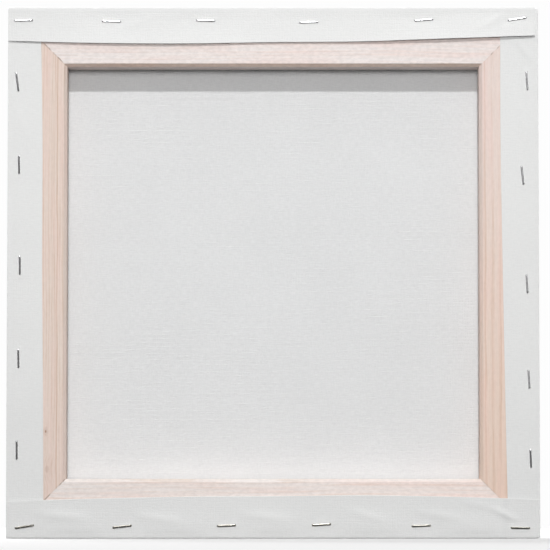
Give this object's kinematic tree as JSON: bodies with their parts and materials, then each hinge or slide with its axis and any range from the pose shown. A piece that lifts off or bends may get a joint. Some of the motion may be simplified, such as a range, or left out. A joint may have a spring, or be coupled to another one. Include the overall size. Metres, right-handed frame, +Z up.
{
  "type": "stretched canvas",
  "caption": "Square artist's canvas: one primed cotton sheet wrapped round a mitred pine stretcher frame and stapled to its back, standing on its bottom edge.",
  "frame": {"origin": "centre of the footprint, on the surface that the bottom edge stands on", "axes": "+Z up; the painting face looks along -Y and the stapled back along +Y; left and right in node names are as seen from the back, so left is +X"},
  "size_m": [0.3048, 0.0202, 0.3048],
  "materials": {
    "pine": "planed, unfinished, fine straight grain",
    "primed_cotton": "white primed plain weave, matt",
    "staple_wire": "bright galvanised flat wire"
  },
  "bodies": {
    "root": {"bar_top": "pine", "bar_bottom": "pine", "bar_left": "pine", "bar_right": "pine", "canvas": "primed_cotton", "staple_top_1": "staple_wire", "staple_top_2": "staple_wire", "staple_top_3": "staple_wire", "staple_top_4": "staple_wire", "staple_top_5": "staple_wire", "staple_top_6": "staple_wire", "staple_bottom_1": "staple_wire", "staple_bottom_2": "staple_wire", "staple_bottom_3": "staple_wire", "staple_bottom_4": "staple_wire", "staple_bottom_5": "staple_wire", "staple_bottom_6": "staple_wire", "staple_left_1": "staple_wire", "staple_left_2": "staple_wire", "staple_left_3": "staple_wire", "staple_left_4": "staple_wire", "staple_left_5": "staple_wire", "staple_right_1": "staple_wire", "staple_right_2": "staple_wire", "staple_right_3": "staple_wire", "staple_right_4": "staple_wire", "staple_right_5": "staple_wire"}
  },
  "joints": []
}
